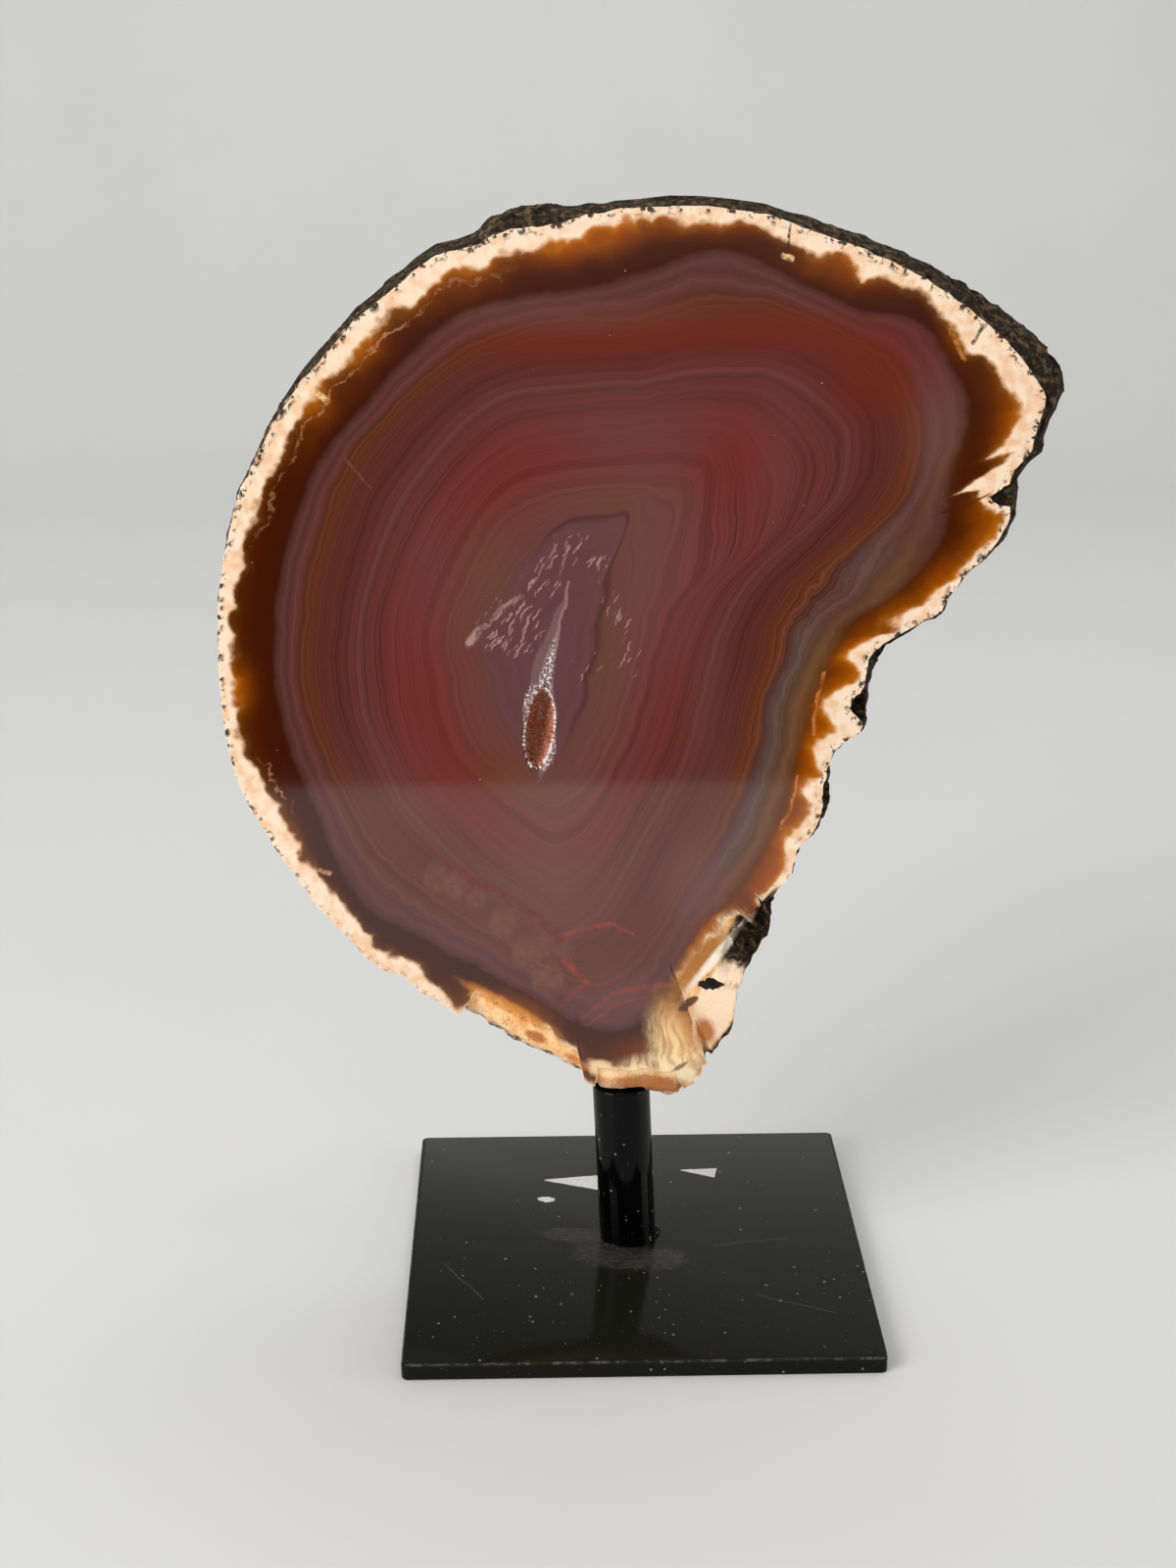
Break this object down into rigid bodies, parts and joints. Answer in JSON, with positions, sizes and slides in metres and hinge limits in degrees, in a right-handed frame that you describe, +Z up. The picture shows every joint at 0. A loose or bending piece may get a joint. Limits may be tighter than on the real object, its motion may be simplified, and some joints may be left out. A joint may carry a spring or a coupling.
{
  "type": "agate slice on stand",
  "caption": "Polished banded agate slice with natural rind and a small crystal-lined pocket, held upright on a black steel post and square base plate for display.",
  "frame": {"origin": "centre of the base plate's underside", "axes": "+Z up along the post, +X to the right of the polished face, -Y out of the polished face"},
  "size_m": [0.1376, 0.08, 0.1852],
  "materials": {
    "black_paint": "satin black paint, scuffed round the post and worn on the edges",
    "agate": "polished face, rough natural rind",
    "quartz_druse": "sparkling small crystals"
  },
  "bodies": {
    "root": {"base_plate": "black_paint", "post": "black_paint", "agate_slice": "agate", "vug_crystals": "quartz_druse"}
  },
  "joints": []
}
